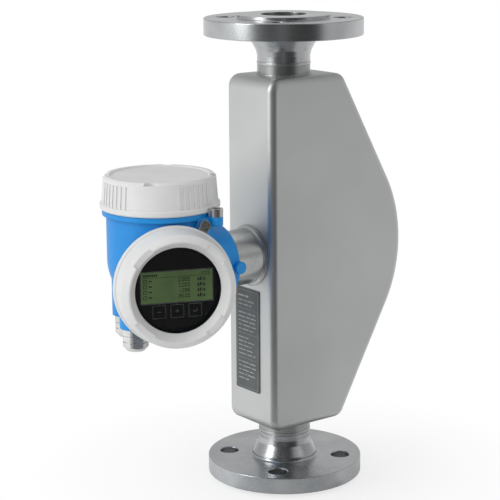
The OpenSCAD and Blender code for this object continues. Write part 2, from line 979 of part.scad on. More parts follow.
module electronics_cover() {
    rim_w = 5;
    dish = 1.2;
    top_edge = 2;
    skirt_h = blind_cover_h - top_edge;
    roof = 3;
    notch_r = 7;
    notch_depth = 2.5;
    color(light_grey)
        at_electronics_seat()
            difference() {
                union() {
                    rotate_extrude() {
                        skirt_section(skirt_h);
                        polygon([[0, skirt_h], [skirt_top_r, skirt_h],
                            [skirt_top_r - top_edge, blind_cover_h], [0, blind_cover_h]]);
                    }
                    grip_ribs(skirt_h);
                }
                translate([0, 0, blind_cover_h - dish])
                    cylinder(r1 = skirt_top_r - top_edge - rim_w,
                        r2 = skirt_top_r - top_edge - rim_w + dish + eps, h = dish + eps);
                for (i = [0 : 3])
                    rotate([0, 0, notch_angle + 90 * i])
                        translate([skirt_top_r + 2, 0, blind_cover_h - notch_depth])
                            cylinder(r = notch_r, h = notch_depth + 1);
                cover_thread(spigot_l + 2);
                cylinder(r = electronics_bore_r + 1, h = blind_cover_h - dish - roof);
            }
}

module display_cover() {
    bevel_h = 4.5;
    skirt_h = window_cover_h - bevel_h;
    ridge_w = 1.4;
    notch_w = 20;
    notch_depth = 2.2;
    color(light_grey)
        at_display_seat()
            difference() {
                rotate_extrude() {
                    skirt_section(skirt_h);
                    polygon([[0, skirt_h], [skirt_top_r, skirt_h],
                        [ridge_r + ridge_w, window_cover_h], [0, window_cover_h]]);
                }
                translate([0, 0, glass_front_h])
                    cylinder(r1 = view_r, r2 = ridge_r, h = window_cover_h - glass_front_h + eps);
                for (i = [0 : 3])
                    rotate([0, 0, 45 + 90 * i])
                        translate([view_r + 1, -notch_w / 2, window_cover_h - notch_depth])
                            cube([20, notch_w, notch_depth + 1]);
                cylinder(r = view_r, h = window_cover_h);
                cylinder(r = glass_r + fit_gap, h = glass_front_h);
                cylinder(r = ring_r + fit_gap, h = glass_front_h - glass_t);
                cover_thread(spigot_l + cover_gap);
            }
}

module display_window() {
    color([0.1, 0.1, 0.12, 0.4])
        at_display_seat()
            translate([0, 0, glass_front_h - glass_t])
                cylinder(r = glass_r, h = glass_t);
}

module window_retaining_ring() {
    ring_t = glass_front_h - glass_t - spigot_l - cover_gap;
    color("dimgray")
        at_display_seat()
            translate([0, 0, glass_front_h - glass_t - ring_t])
                difference() {
                    cylinder(r = ring_r, h = ring_t);
                    translate([0, 0, -1])
                        cylinder(r = view_r + 0.5, h = ring_t + 2);
                }
}

module cover_seal() {
    rotate_extrude()
        translate([seal_r, seal_foot + seal_cord_d / 2])
            circle(d = seal_cord_d);
}

module electronics_cover_seal() {
    color(black)
        at_electronics_seat()
            cover_seal();
}

module display_cover_seal() {
    color(black)
        at_display_seat()
            cover_seal();
}

// ---- Cover clamps ----

clamp_head_r = 3.2;
clamp_head_h = 3;
clamp_well_r = 3.8;
clamp_well_depth = 3.6;

// Claw of radius r on the clamp lug, standing beside the lip of the cover
module cover_clamp(r) {
    claw_r = lip_r + cover_gap;
    claw_w = 2 * r - 1.6;
    translate([0, 0, -clamp_sink])
        difference() {
            union() {
                translate([clamp_r, 0, 0])
                    cylinder(r = r, h = clamp_h);
                translate([claw_r - 2, -claw_w / 2, 0])
                    cube([clamp_r - claw_r + 2, claw_w, clamp_h]);
            }
            translate([0, 0, -1])
                cylinder(r = claw_r, h = clamp_h + 2);
            translate([clamp_r, 0, -1])
                cylinder(r = clamp_screw_r + clearance, h = clamp_h + 2);
            translate([clamp_r, 0, clamp_h - clamp_well_depth])
                cylinder(r = clamp_well_r, h = clamp_well_depth + 1);
        }
}

// Socket screw, its head sunk in the clamp and its shank in the lug
module clamp_screw() {
    shank_l = 5;
    socket_r = 1.7;
    socket_depth = 1.8;
    head_z = clamp_h - clamp_sink - clamp_well_depth;
    translate([clamp_r, 0, 0])
        difference() {
            union() {
                translate([0, 0, -clamp_sink - shank_l])
                    cylinder(r = clamp_screw_r, h = head_z + clamp_sink + shank_l + 1);
                translate([0, 0, head_z])
                    cylinder(r = clamp_head_r, h = clamp_head_h);
            }
            translate([0, 0, head_z + clamp_head_h - socket_depth])
                cylinder(r = socket_r, h = socket_depth + 1, $fn = 6);
        }
}

module electronics_cover_clamp() {
    color(steel)
        at_clamp_top()
            cover_clamp(clamp_top_r);
}

module display_cover_clamp() {
    color(steel)
        at_clamp_display()
            cover_clamp(clamp_display_r);
}

module clamp_screws() {
    color(steel) {
        at_clamp_top()
            clamp_screw();
        at_clamp_display()
            clamp_screw();
    }
}

// ---- Cable glands ----

gland_shank_h = 9;
gland_nose_h = 8;
gland_seal_r = 7.5;
gland_skirt_gap = 0.3;
gland_seat = 2;

module hexagon_prism(flats, h) {
    cylinder(d = flats / cos(30), h = h, $fn = 6);
}

module at_gland(place) {
    at_head()
        translate([place[0], place[1], gland_boss_z])
            children();
}

module gland_body(place) {
    chamfer = 1;
    nose_r = gland_thread_r - 0.5;
    color(steel)
        at_gland(place)
            difference() {
                union() {
                    translate([0, 0, -gland_body_h])
                        intersection() {
                            hexagon_prism(gland_hex, gland_body_h);
                            cylinder(r = gland_hex / 2 + chamfer, h = gland_body_h);
                        }
                    cylinder(r = gland_thread_r - fit_gap, h = gland_shank_h);
                    translate([0, 0, -gland_body_h - gland_nose_h])
                        cylinder(r = nose_r, h = gland_nose_h + 1);
                }
                translate([0, 0, -gland_body_h - gland_nose_h - 1])
                    cylinder(r = gland_seal_r, h = gland_body_h + gland_nose_h + gland_shank_h + 2);
            }
}

module gland_nut(place) {
    chamfer = 0.8;
    rim_r = gland_hex / 2 + chamfer;
    groove_r = gland_hex / 2 - 0.5;
    groove_w = 0.8;
    groove_z = gland_nut_h - gland_collar_h;
    dome_h = 4;
    color(steel)
        at_gland(place)
            translate([0, 0, -gland_body_h - gland_skirt_gap - gland_nut_h])
                difference() {
                    intersection() {
                        hexagon_prism(gland_hex, gland_nut_h);
                        rotate_extrude()
                            polygon([[0, 0], [gland_hex / 2 - 3, 0], [rim_r, dome_h],
                                [rim_r, groove_z - groove_w], [groove_r, groove_z - groove_w],
                                [groove_r, groove_z], [rim_r, groove_z],
                                [rim_r, gland_nut_h - chamfer], [gland_hex / 2, gland_nut_h],
                                [0, gland_nut_h]]);
                    }
                    translate([0, 0, gland_nut_h - gland_nose_h - 0.3])
                        cylinder(r = gland_thread_r - 0.4, h = gland_nose_h + 2);
                    translate([0, 0, gland_seat])
                        cylinder(r = gland_seal_r + fit_gap, h = gland_nut_h);
                    translate([0, 0, -1])
                        cylinder(r = cable_r + 2, h = gland_nut_h);
                }
}

module gland_seal(place) {
    seal_h = 12;
    color(black)
        at_gland(place)
            translate([0, 0, gland_seat - gland_body_h - gland_skirt_gap - gland_nut_h])
                difference() {
                    cylinder(r = gland_seal_r - fit_gap, h = seal_h);
                    translate([0, 0, -1])
                        cylinder(r = cable_r, h = seal_h + 2);
                }
}

module gland_body_front() {
    gland_body(gland_front);
}

module gland_body_rear() {
    gland_body(gland_rear);
}

module gland_nut_front() {
    gland_nut(gland_front);
}

module gland_nut_rear() {
    gland_nut(gland_rear);
}

module gland_seal_front() {
    gland_seal(gland_front);
}

module gland_seal_rear() {
    gland_seal(gland_rear);
}

flange_bottom();
flange_top();
manifold_bottom();
manifold_top();
measuring_tube_front();
measuring_tube_rear();
brace_plate_bottom();
brace_plate_top();
drive_coil();
drive_magnet();
pickoff_coils();
pickoff_magnets();
housing_shell_front();
housing_shell_rear();
nameplate();
neck_tube();
transmitter_housing();
neck_lock_screw();
main_electronics();
terminal_block();
terminal_screws();
display_holder();
display_module();
lcd_panel();
electronics_cover();
electronics_cover_seal();
display_cover();
display_cover_seal();
display_window();
window_retaining_ring();
electronics_cover_clamp();
display_cover_clamp();
clamp_screws();
gland_body_front();
gland_body_rear();
gland_nut_front();
gland_nut_rear();
gland_seal_front();
gland_seal_rear();
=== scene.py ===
"""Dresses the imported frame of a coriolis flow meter: steel sensor, cast transmitter and display."""

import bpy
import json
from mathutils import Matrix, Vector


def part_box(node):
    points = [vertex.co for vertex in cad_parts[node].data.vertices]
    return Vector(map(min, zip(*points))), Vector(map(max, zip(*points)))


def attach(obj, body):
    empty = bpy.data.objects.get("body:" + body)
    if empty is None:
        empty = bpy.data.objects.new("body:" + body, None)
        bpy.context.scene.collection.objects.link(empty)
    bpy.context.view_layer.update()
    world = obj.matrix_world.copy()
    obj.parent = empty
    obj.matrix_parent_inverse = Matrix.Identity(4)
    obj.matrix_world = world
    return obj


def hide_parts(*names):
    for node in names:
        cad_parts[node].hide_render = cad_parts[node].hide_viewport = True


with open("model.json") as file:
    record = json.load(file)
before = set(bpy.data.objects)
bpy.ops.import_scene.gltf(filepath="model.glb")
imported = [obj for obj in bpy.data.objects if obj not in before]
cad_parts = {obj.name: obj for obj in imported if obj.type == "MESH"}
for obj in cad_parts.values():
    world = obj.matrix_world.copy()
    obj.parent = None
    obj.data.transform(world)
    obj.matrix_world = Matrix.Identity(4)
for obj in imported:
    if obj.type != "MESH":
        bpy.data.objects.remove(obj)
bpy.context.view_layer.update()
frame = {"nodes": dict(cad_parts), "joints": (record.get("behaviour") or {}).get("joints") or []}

import json
import math

import bmesh
import bpy
import numpy as np
from mathutils import Matrix, Vector

bl_info = {
    "name": "Coriolis flow meter",
    "version": (1, 0, 0),
    "blender": (4, 5, 0),
    "location": "View3D > Sidebar > Flow meter",
    "description": "Builds the visible pieces and finishes of a coriolis flow meter on its frame",
    "category": "Object",
}

MM = 0.001
NODES = frame["nodes"]
JOINTS = {joint["name"]: joint for joint in frame["joints"]}


def box_mm(node):
    """Lowest and highest corners of a frame node, in millimetres."""
    low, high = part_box(node)
    return np.array(low) / MM, np.array(high) / MM


# ---- Places taken from the frame ----

PLATE_LOW, PLATE_HIGH = box_mm("nameplate")
FLANGE_LOW, FLANGE_HIGH = box_mm("flange_bottom")
TOP_FLANGE_LOW, TOP_FLANGE_HIGH = box_mm("flange_top")
SHELL_LOW, SHELL_HIGH = box_mm("housing_shell_front")
NECK_LOW, NECK_HIGH = box_mm("neck_tube")
DISPLAY_SEAL_LOW, DISPLAY_SEAL_HIGH = box_mm("display_cover_seal")
FACE_TO_FACE = TOP_FLANGE_HIGH[2] - FLANGE_LOW[2]
MID_Z = FACE_TO_FACE / 2
# Height of the middle of a cover's seal above the cover's seat.
SEAL_MIDDLE = 1.8


def seat_place(seal_low, seal_high, joint):
    """Placing matrix, in millimetres, of a cover's foot: local Z points out along the cover's axis."""
    centre = Vector((seal_low + seal_high) / 2)
    axis = Vector(JOINTS[joint]["axis"]).normalized()
    if axis.dot(centre - Vector((0, 0, MID_Z))) < 0 and abs(axis.z) < 0.5:
        axis = -axis
    if axis.z < -0.5:
        axis = -axis
    up = Vector((0, 0, 1)) if abs(axis.z) < 0.5 else Vector((0, 1, 0))
    right = up.cross(axis).normalized()
    turned = Matrix((right, axis.cross(right), axis)).transposed().to_4x4()
    return Matrix.Translation(centre - axis * SEAL_MIDDLE) @ turned


DISPLAY_SEAT = seat_place(DISPLAY_SEAL_LOW, DISPLAY_SEAL_HIGH, "display_cover_turn")
NECK = Matrix.Translation((0, 0, MID_Z)) @ Matrix.Rotation(-math.pi / 2, 4, "Y")
UPSIDE_DOWN = Matrix.Translation((0, 0, FACE_TO_FACE)) @ Matrix.Rotation(math.pi, 4, "X")
ENDS = (("bottom", Matrix.Identity(4)), ("top", UPSIDE_DOWN))


# ---- Colours and nodes ----

def linear(hex_colour):
    """Linear RGBA of an sRGB hex value such as '#9aa0a6'."""
    values = []
    for i in (1, 3, 5):
        c = int(hex_colour[i:i + 2], 16) / 255
        c = c / 12.92 if c <= 0.04045 else ((c + 0.055) / 1.055) ** 2.4
        values.append(c)
    return (*values, 1.0)


def add_node(tree, kind, inputs=None, **settings):
    """Adds a node: settings are its own properties, inputs are values or sockets to link."""
    made = tree.nodes.new(kind)
    for key, value in settings.items():
        setattr(made, key, value)
    for key, value in (inputs or {}).items():
        if isinstance(value, bpy.types.NodeSocket):
            tree.links.new(value, made.inputs[key])
        else:
            made.inputs[key].default_value = value
    return made


def start_material(name, **constants):
    """A material with a bare shader whose constant sockets are set, and its parts."""
    material = bpy.data.materials.new(name)
    material.use_nodes = True
    tree = material.node_tree
    tree.nodes.clear()
    shader = add_node(tree, "ShaderNodeBsdfPrincipled")
    for key, value in constants.items():
        shader.inputs[key.replace("_", " ")].default_value = value
    add_node(tree, "ShaderNodeOutputMaterial", {"Surface": shader.outputs[0]})
    coordinates = add_node(tree, "ShaderNodeTexCoord").outputs["Object"]
    return material, tree, shader, coordinates


def mottle(tree, coordinates, size_mm, detail=3.0, roughness=0.5, stretch=(1, 1, 1)):
    """Cloudy noise whose blotches are about size_mm across."""
    scaled = add_node(tree, "ShaderNodeMapping", {"Vector": coordinates, "Scale": stretch})
    return add_node(tree, "ShaderNodeTexNoise", {
        "Vector": scaled.outputs[0], "Scale": 1 / (size_mm * MM), "Detail": detail, "Roughness": roughness,
    }).outputs["Fac"]


def span(tree, factor, low, high, source=(0.0, 1.0)):
    """Value of factor carried from source to the range low to high."""
    return add_node(tree, "ShaderNodeMapRange", {
        "Value": factor, "From Min": source[0], "From Max": source[1], "To Min": low, "To Max": high,
    }).outputs["Result"]


def shades(tree, factor, dark, light, low=0.3, high=0.7):
    """Colour between two hex values, led by factor."""
    ramp = add_node(tree, "ShaderNodeValToRGB", {"Fac": factor})
    ramp.color_ramp.elements[0].position = low
    ramp.color_ramp.elements[0].color = linear(dark)
    ramp.color_ramp.elements[1].position = high
    ramp.color_ramp.elements[1].color = linear(light)
    return ramp.outputs["Color"]


def rounded(tree, radius_mm):
    """Normal that runs softly over the edges and inner corners, as after casting or breaking an edge."""
    return add_node(tree, "ShaderNodeBevel", {"Radius": radius_mm * MM}, samples=6).outputs[0]


def bump(tree, shader, height, depth_mm, strength=0.5, under=None):
    """Relief on the shader's normal; the height factor stands for depth_mm."""
    inputs = {"Height": height, "Distance": depth_mm * MM, "Strength": strength}
    if under is not None:
        inputs["Normal"] = under
    made = add_node(tree, "ShaderNodeBump", inputs)
    tree.links.new(made.outputs[0], shader.inputs["Normal"])
    return made.outputs[0]


# ---- Finishes ----

def turned_stainless(name, dark, light, roughness):
    """Forged 316L steel turned on a lathe: bright, slightly cold, with fine rings around the pipe axis."""
    material, tree, shader, place = start_material(name, Metallic=1.0)
    cloud = mottle(tree, place, 30)
    tree.links.new(shades(tree, cloud, dark, light), shader.inputs["Base Color"])
    ring_pitch, wave_unit = 0.9, 20
    lines = mottle(tree, place, 0.7, detail=3, roughness=0.6, stretch=(0.03, 0.03, 1))
    rings = add_node(tree, "ShaderNodeTexWave", {
        "Vector": place, "Scale": 1 / (ring_pitch * MM) / wave_unit, "Distortion": 0.6, "Detail": 2.0,
        "Detail Scale": 2.0,
    }, wave_type="RINGS", rings_direction="Z")
    tree.links.new(span(tree, lines, roughness - 0.05, roughness + 0.09), shader.inputs["Roughness"])
    under = bump(tree, shader, rings.outputs["Fac"], 0.01, 0.35, rounded(tree, 0.6))
    bump(tree, shader, lines, 0.02, 0.4, under)
    return material


def blasted_stainless(name, dark, light, roughness):
    """Stainless sheet blasted with glass beads: even satin grey with a very fine grain and soft clouds."""
    material, tree, shader, place = start_material(name, Metallic=1.0)
    cloud = mottle(tree, place, 90, detail=2)
    grain = mottle(tree, place, 0.8, detail=4, roughness=0.65)
    tree.links.new(shades(tree, cloud, dark, light), shader.inputs["Base Color"])
    tree.links.new(span(tree, grain, roughness - 0.06, roughness + 0.06), shader.inputs["Roughness"])
    bump(tree, shader, grain, 0.03, 0.35)
    return material


def drawn_stainless(name, dark, light, roughness, stretch):
    """Drawn or brushed stainless tube: long fine lines along the stretch and soft bright reflections."""
    material, tree, shader, place = start_material(name, Metallic=1.0)
    lines = mottle(tree, place, 0.7, detail=3, stretch=stretch)
    cloud = mottle(tree, place, 25)
    tree.links.new(shades(tree, cloud, dark, light), shader.inputs["Base Color"])
    tree.links.new(span(tree, lines, roughness - 0.06, roughness + 0.08), shader.inputs["Roughness"])
    bump(tree, shader, lines, 0.012, 0.3)
    return material


def powder_coat(name, dark, light, roughness, coat, edge_mm):
    """Polyester powder coat baked on die-cast aluminium: even colour, fine orange peel, soft gloss."""
    material, tree, shader, place = start_material(
        name, IOR=1.5, Coat_Weight=coat, Coat_Roughness=0.18, Coat_IOR=1.5)
    cloud = mottle(tree, place, 45, detail=2)
    peel = mottle(tree, place, 1.6, detail=2, roughness=0.4)
    tree.links.new(shades(tree, cloud, dark, light), shader.inputs["Base Color"])
    tree.links.new(span(tree, peel, roughness - 0.04, roughness + 0.05), shader.inputs["Roughness"])
    bump(tree, shader, peel, 0.03, 0.25, rounded(tree, edge_mm))
    return material


def moulded(name, dark, light, roughness, grain_mm=0.8, metallic=0.0):
    """Moulded or pressed small part: nearly even colour with a faint grain that breaks the gloss."""
    material, tree, shader, place = start_material(name, Metallic=metallic)
    grain = mottle(tree, place, grain_mm)
    cloud = mottle(tree, place, 12)
    tree.links.new(shades(tree, cloud, dark, light), shader.inputs["Base Color"])
    tree.links.new(span(tree, grain, roughness - 0.05, roughness + 0.06), shader.inputs["Roughness"])
    bump(tree, shader, grain, 0.02, 0.2, rounded(tree, 0.4))
    return material


def panel_with_painted_glow(name, dark, light):
    """Liquid crystal glass under a half gloss, with an even green glow of painted light in place of the
    light that the window keeps off it.
    """
    # The emission is painted light: the panel glows in place of the light that the window glass holds back
    # from it.
    material, tree, shader, place = start_material(name, Roughness=0.3, IOR=1.5, Emission_Strength=0.5)
    cloud = mottle(tree, place, 18, detail=1)
    film = mottle(tree, place, 0.5)
    colour = shades(tree, cloud, dark, light)
    for socket in ("Base Color", "Emission Color"):
        tree.links.new(colour, shader.inputs[socket])
    bump(tree, shader, film, 0.01, 0.1)
    return material


def float_glass(name):
    """Toughened float glass with an anti-glare coat: clear, with the faintest waviness in its weak gloss."""
    material, tree, shader, place = start_material(
        name, IOR=1.52, Transmission_Weight=1.0, Roughness=0.0, Specular_IOR_Level=0.15)
    wave = mottle(tree, place, 14, detail=1)
    tree.links.new(shades(tree, wave, "#f4f9f8", "#ffffff"), shader.inputs["Base Color"])
    bump(tree, shader, wave, 0.004, 0.1)
    return material


FINISHES = {}


def make_finishes(colours):
    """Fills FINISHES with every material of the flow meter."""
    FINISHES.update({
        # Forged and turned 316L steel of the flanges: cold bright grey with lathe rings.
        "flange": turned_stainless("forged_316l_turned", "#b6b9bb", "#cbcdce", 0.25),
        # Turned bar steel of the splitters inside the sensor, a touch darker.
        "splitter": turned_stainless("bar_316l_turned", "#a2a4a4", "#bcbebe", 0.34),
        # Glass-bead-blasted sheet of the sensor housing: satin, without direction.
        "shell": blasted_stainless("sheet_304_bead_blasted", "#d2d4d3", "#dcdedd", 0.47),
        # Drawn measuring tubes, smooth and bright.
        "tube": drawn_stainless("tube_316l_drawn", "#b2b4b4", "#c8caca", 0.25, (8, 8, 1)),
        # Brushed neck tube, with lines around it.
        "neck": drawn_stainless("tube_304_brushed", "#c0c2c1", "#d2d4d3", 0.26, (10, 1, 1)),
        # Enamelled copper wire of the coils: warm brown gloss.
        "copper": moulded("copper_wire_enamelled", "#8a4a2a", "#b06a3c", 0.32, metallic=1.0),
        # Sintered magnet iron: dull dark grey.
        "magnet": moulded("magnet_iron_sintered", "#4d4d50", "#626266", 0.5, metallic=1.0),
        # Blue powder coat of the transmitter housing.
        "blue": powder_coat(
            "aluminium_powder_coated_blue", colours.blue_dark, colours.blue_light, 0.42, 0.08, 2.2),
        # Pale grey powder coat of both covers.
        "grey": powder_coat(
            "aluminium_powder_coated_grey", colours.grey_dark, colours.grey_light, 0.42, 0.05, 0.8),
        # Stainless screws and clamps, slightly warm from handling.
        "screw": moulded("screw_a2_cold_formed", "#c3c2bf", "#d6d5d2", 0.34, metallic=1.0),
        # Nickel plate on the brass glands: bright with a yellowish depth.
        "nickel": moulded("brass_nickel_plated", "#dcdedd", "#f0f1f0", 0.46, metallic=1.0),
        # EPDM seals: dull black.
        "rubber": moulded("epdm_moulded", "#1a1a1b", "#262628", 0.7),
        # FR4 boards under solder mask: green, half gloss.
        "board": moulded("fr4_solder_mask", "#0d4a2c", "#14603a", 0.35),
        # Polyamide terminal block: grey-green and slightly satin.
        "terminal": moulded("polyamide_moulded_grey", "#6d7472", "#7f8684", 0.45),
        # Black polycarbonate of the display module.
        "black": moulded("polycarbonate_moulded_black", "#050507", "#0a0a0d", 0.35),
        # Liquid crystal glass with a grey-green film behind it, glowing with painted light in place of the
        # light that the window keeps off.
        "lcd": panel_with_painted_glow("lcd_glass_green_painted_glow", "#546842", "#60764c"),
        # Dark segments and rules of the liquid crystal.
        "ink": moulded("lcd_segments_dark", "#0b100a", "#12180f", 0.4, grain_mm=0.4),
        # Screen print of the keys and of the frame around the panel.
        "print": moulded("screen_print_grey", "#c0c6c8", "#cdd3d5", 0.5, grain_mm=0.4),
        # Metal left bare by the etching of the plate.
        "etched": moulded("stainless_plate_bare_lines", "#a3a7a6", "#b4b8b7", 0.4, grain_mm=0.4),
        # Weld beads brushed clean: low, rippled, satin.
        "weld": moulded("weld_316l_tig", "#b5b5b4", "#c9c9c8", 0.36, metallic=1.0),
        # Etched plate with dark fill.
        "plate": moulded("stainless_plate_etched_dark", "#565a59", "#636766", 0.42),
        # Window glass: clear, so that only its weak gloss is seen.
        "glass": float_glass("float_glass_toughened"),
    })


NODE_FINISH = {
    "flange_bottom": "flange", "flange_top": "flange",
    "manifold_bottom": "splitter", "manifold_top": "splitter",
    "measuring_tube_front": "tube", "measuring_tube_rear": "tube",
    "brace_plate_bottom": "splitter", "brace_plate_top": "splitter",
    "drive_coil": "copper", "drive_magnet": "magnet",
    "pickoff_coils": "copper", "pickoff_magnets": "magnet",
    "housing_shell_front": "shell", "housing_shell_rear": "shell",
    "nameplate": "plate", "neck_tube": "neck",
    "transmitter_housing": "blue", "neck_lock_screw": "screw",
    "main_electronics": "board", "terminal_block": "terminal", "terminal_screws": "screw",
    "display_holder": "black", "display_module": "black", "lcd_panel": "lcd",
    "electronics_cover": "grey", "electronics_cover_seal": "rubber",
    "display_cover": "grey", "display_cover_seal": "rubber",
    "display_window": "glass", "window_retaining_ring": "black",
    "electronics_cover_clamp": "screw", "display_cover_clamp": "screw", "clamp_screws": "screw",
    "gland_body_front": "nickel", "gland_body_rear": "nickel",
    "gland_nut_front": "nickel", "gland_nut_rear": "nickel",
    "gland_seal_front": "rubber", "gland_seal_rear": "rubber",
}


# ---- Mesh helpers; all of them work in millimetres ----

def arc_points(centre, radius, start, end, steps):
    """Points of an arc, from the angle start to the angle end, in degrees."""
    return [(centre[0] + radius * math.cos(math.radians(a)), centre[1] + radius * math.sin(math.radians(a)))
            for a in np.linspace(start, end, steps + 1)]


def soften(points, radii, steps=5):
    """Profile with its inner corners rounded; radii maps a corner's index to its radius."""
    made = []
    for i, point in enumerate(points):
        radius = radii.get(i, 0)
        if radius == 0 or i in (0, len(points) - 1):
            made.append(tuple(point))
            continue
        corner = np.array(point, float)
        back = np.array(points[i - 1], float) - corner
        ahead = np.array(points[i + 1], float) - corner
        back_length, ahead_length = np.linalg.norm(back), np.linalg.norm(ahead)
        back, ahead = back / back_length, ahead / ahead_length
        half = math.acos(max(-1, min(1, float(back @ ahead)))) / 2
        reach = min(radius / math.tan(half), 0.48 * back_length, 0.48 * ahead_length)
        radius = reach * math.tan(half)
        middle = corner + (back + ahead) / np.linalg.norm(back + ahead) * radius / math.sin(half)
        first, last = corner + back * reach, corner + ahead * reach
        a = math.atan2(*(first - middle)[::-1])
        b = math.atan2(*(last - middle)[::-1])
        turn = (b - a + math.pi) % (2 * math.pi) - math.pi
        made += [(middle[0] + radius * math.cos(a + turn * k / steps),
                  middle[1] + radius * math.sin(a + turn * k / steps)) for k in range(steps + 1)]
    return made


def lathe(profile, segments=128, closed=False, shape=None):
    """Body of revolution about Z from (radius, height) points; shape may move each point."""
    rows, faces, points = [], [], []
    for row, (radius, height) in enumerate(profile):
        if radius < 1e-6:
            rows.append([len(points)] * segments)
            points.append((0.0, 0.0, height))
            continue
        rows.append(list(range(len(points), len(points) + segments)))
        for k in range(segments):
            angle = 2 * math.pi * k / segments
            r, h = shape(radius, height, angle, row) if shape else (radius, height)
            points.append((r * math.cos(angle), r * math.sin(angle), h))
    pairs = list(zip(rows, rows[1:])) + ([(rows[-1], rows[0])] if closed else [])
    for low, high in pairs:
        for k in range(segments):
            n = (k + 1) % segments
            corners = [low[k], low[n], high[n], high[k]]
            faces.append([c for i, c in enumerate(corners) if c != corners[i - 1]])
    return np.array(points), faces


def box_mesh(low, high):
    """Eight corners and six faces of a box."""
    points = np.array([
        (x, y, z) for z in (low[2], high[2]) for y in (low[1], high[1]) for x in (low[0], high[0])])
    return points, [[0, 2, 3, 1], [4, 5, 7, 6], [0, 1, 5, 4], [1, 3, 7, 5], [3, 2, 6, 7], [2, 0, 4, 6]]


def joined(*meshes):
    """One mesh of several (points, faces) pairs."""
    points, faces, start = [], [], 0
    for part_points, part_faces in meshes:
        points.append(np.asarray(part_points))
        faces += [[c + start for c in face] for face in part_faces]
        start += len(part_points)
    return np.vstack(points), faces


def moved(mesh, matrix):
    """The mesh under a matrix in millimetres."""
    points, faces = mesh
    m = np.array(matrix)
    return points @ m[:3, :3].T + m[:3, 3], faces


def new_object(name, mesh, place=Matrix.Identity(4)):
    """Object in metres from a (points, faces) pair in millimetres."""
    points, faces = moved(mesh, place)
    data = bpy.data.meshes.new(name)
    data.from_pydata((points * MM).tolist(), [], faces)
    made = bpy.data.objects.new(name, data)
    bpy.context.scene.collection.objects.link(made)
    work = bmesh.new()
    work.from_mesh(data)
    bmesh.ops.recalc_face_normals(work, faces=work.faces)
    work.to_mesh(data)
    work.free()
    return made


def apply_modifiers(made):
    """Bakes the modifiers into the object's mesh."""
    bpy.context.view_layer.update()
    result = bpy.data.meshes.new_from_object(made.evaluated_get(bpy.context.evaluated_depsgraph_get()))
    old = made.data
    made.modifiers.clear()
    made.data = result
    bpy.data.meshes.remove(old)


def plug(radius, low, high):
    """Solid cylinder around Z, to cut a round hole with."""
    return lathe([(0, low), (radius, low), (radius, high), (0, high)])


def cut(made, cutters):
    """Takes the cutters' solids out of the object."""
    for cutter in cutters:
        step = made.modifiers.new("cut", "BOOLEAN")
        step.operation = "DIFFERENCE"
        step.solver = "EXACT"
        step.object = cutter
    apply_modifiers(made)
    for cutter in cutters:
        data = cutter.data
        bpy.data.objects.remove(cutter)
        bpy.data.meshes.remove(data)


def shade(made, angle):
    """Smooth shading with edges sharper than angle, in degrees, kept crisp."""
    made.data.shade_smooth()
    made.data.set_sharp_from_angle(angle=math.radians(angle))
    step = made.modifiers.new("even shading", "WEIGHTED_NORMAL")
    step.keep_sharp = True
    step.weight = 50


def dress(made, finish, body, replaced=(), angle=32):
    """Gives a piece its finish and its body, and hides the frame nodes it stands for."""
    made.data.materials.clear()
    made.data.materials.append(FINISHES[finish])
    shade(made, angle)
    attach(made, body)
    if replaced:
        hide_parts(*replaced)


# ---- Settings that a user would change ----

class FlowMeterHousing(bpy.types.PropertyGroup):
    """Sizes of the sensor housing, in metres."""
    back: bpy.props.FloatProperty(
        name="Back", description="Distance from the pipe axis to the flat transmitter side",
        default=-SHELL_LOW[0] * MM, unit="LENGTH")
    shoulder: bpy.props.FloatProperty(
        name="Shoulder", description="Distance from the pipe axis to the shoulder of the bulge",
        default=0.050, unit="LENGTH")
    bulge_radius: bpy.props.FloatProperty(
        name="Bulge radius", description="Radius of the round end of the bulge",
        default=0.1305, unit="LENGTH")
    edge_radius: bpy.props.FloatProperty(
        name="Edge radius", description="Rounding around the two large faces", default=0.007, unit="LENGTH")
    wall: bpy.props.FloatProperty(
        name="Wall", description="Sheet thickness of the half shells", default=0.0025, unit="LENGTH")


class FlowMeterColours(bpy.types.PropertyGroup):
    """Colours of the coated and printed parts, as sRGB hex values."""
    blue_dark: bpy.props.StringProperty(
        name="Blue, dark", description="Darker shade of the blue housing", default="#0087d4")
    blue_light: bpy.props.StringProperty(
        name="Blue, light", description="Lighter shade of the blue housing", default="#008fdc")
    grey_dark: bpy.props.StringProperty(
        name="Grey, dark", description="Darker shade of the covers", default="#d5d6d5")
    grey_light: bpy.props.StringProperty(
        name="Grey, light", description="Lighter shade of the covers", default="#dddedd")


class FlowMeterStage(bpy.types.PropertyGroup):
    """Camera and studio."""
    lens: bpy.props.FloatProperty(
        name="Lens", description="Focal length on a 36 mm sensor", default=119.2, unit="CAMERA")
    floor_size: bpy.props.FloatProperty(
        name="Floor", description="Edge length of the pale floor", default=12.0, unit="LENGTH")
    key_power: bpy.props.FloatProperty(
        name="Key light", description="Power of the large softbox", default=16.0, unit="POWER")
    fill_power: bpy.props.FloatProperty(
        name="Fill light", description="Power of the softbox on the camera's side",
        default=2.5, unit="POWER")
    ambient: bpy.props.FloatProperty(
        name="Ambient", description="Level of the even light from all round",
        default=0.6, subtype="FACTOR")


def settings():
    """The scene's settings as one tuple: housing, colours, stage."""
    scene = bpy.context.scene
    return scene.flow_meter_housing, scene.flow_meter_colours, scene.flow_meter_stage


# ---- Sensor housing ----

BACK_CORNER = 12
SHOULDER_CORNER = 12
BULGE_SETBACK = 10
BACK_STEPS, SHOULDER_STEPS, BULGE_STEPS, EDGE_STEPS = 10, 12, 72, 10
SHELL_HALF_HEIGHT = (SHELL_HIGH[2] - SHELL_LOW[2]) / 2
SHELL_HALF_WIDTH = -SHELL_LOW[1]
NECK_HOLE_R = 22.5
# Distances from the pipe axis between which the neck's hole is cut through the flat side.
NECK_HOLE_SPAN = 30, 50
PIPE_HOLE_R = 25.1


